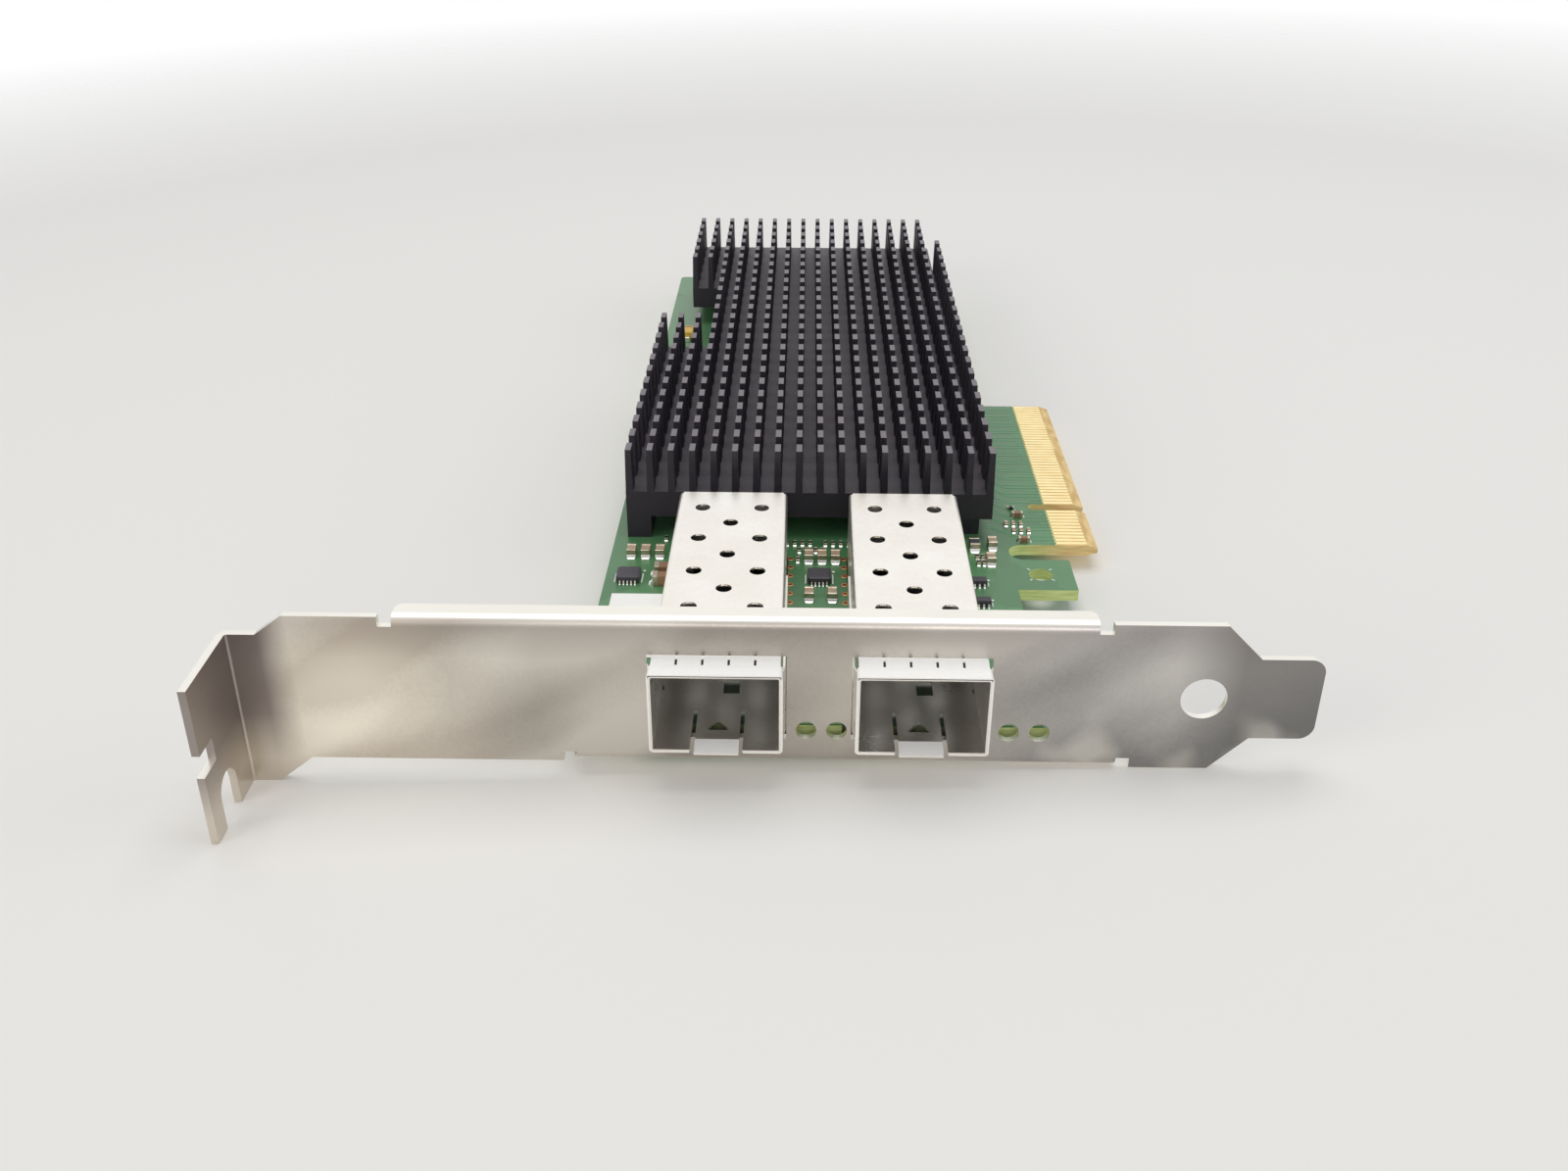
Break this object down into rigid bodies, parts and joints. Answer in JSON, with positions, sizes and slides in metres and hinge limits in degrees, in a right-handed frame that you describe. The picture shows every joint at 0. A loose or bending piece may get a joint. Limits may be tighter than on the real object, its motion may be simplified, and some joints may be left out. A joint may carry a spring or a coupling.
{
  "type": "network interface card",
  "caption": "Expansion card with a full-height bracket, module ports in sprung cages, a long pin-fin heatsink and a keyed gold contact edge.",
  "frame": {"origin": "datum of the contact edge: on the key slot's centreline, at the tip of the edge, on the component face of the board", "axes": "+X out of the contact edge, +Y along the board away from the bracket, +Z off the component face"},
  "size_m": [0.1201, 0.181, 0.0217],
  "materials": {
    "bracket_metal": "satin nickel plate",
    "board_laminate": "green solder mask over laminate",
    "gold_plate": "gold plated",
    "cage_metal": "bright tin plate",
    "spring_metal": "nickel plated spring strip",
    "heatsink_metal": "black anodised",
    "connector_moulding": "black moulding",
    "solder": "tinned",
    "screw_metal": "nickel plated",
    "chip_moulding": "fine matt",
    "chip_metal": "satin",
    "capacitor_ceramic": "matt",
    "resistor_ceramic": "satin",
    "ferrite": "matt",
    "tantalum_moulding": "satin",
    "pad_rubber": "matt",
    "label_paper": "matt",
    "light_resin": "clear"
  },
  "bodies": {
    "root": {"bracket": "bracket_metal", "bracket_nuts": "screw_metal", "bracket_screws": "screw_metal", "circuit_board": "board_laminate", "clock_crystal": "chip_metal", "component_side_contacts": "gold_plate", "controller_chip": "chip_metal", "coupling_capacitors": "capacitor_ceramic", "decoupling_capacitors": "capacitor_ceramic", "filter_capacitors": "capacitor_ceramic", "firmware_memory": "chip_moulding", "heatsink": "heatsink_metal", "heatsink_screws": "screw_metal", "left_cage_cover": "cage_metal", "left_cage_floor": "cage_metal", "left_connector_tails": "solder", "left_host_connector": "connector_moulding", "left_port_collar": "spring_metal", "level_translator_chips": "chip_moulding", "paper_label": "label_paper", "port_driver_chips": "chip_moulding", "power_chokes": "ferrite", "right_cage_cover": "cage_metal", "right_cage_floor": "cage_metal", "right_connector_tails": "solder", "right_host_connector": "connector_moulding", "right_port_collar": "spring_metal", "signal_choke": "ferrite", "small_resistors": "resistor_ceramic", "solder_side_contacts": "gold_plate", "status_lights": "light_resin", "storage_capacitors": "capacitor_ceramic", "tantalum_capacitor": "tantalum_moulding", "thermal_pad": "pad_rubber", "voltage_regulators": "chip_moulding"}
  },
  "joints": []
}
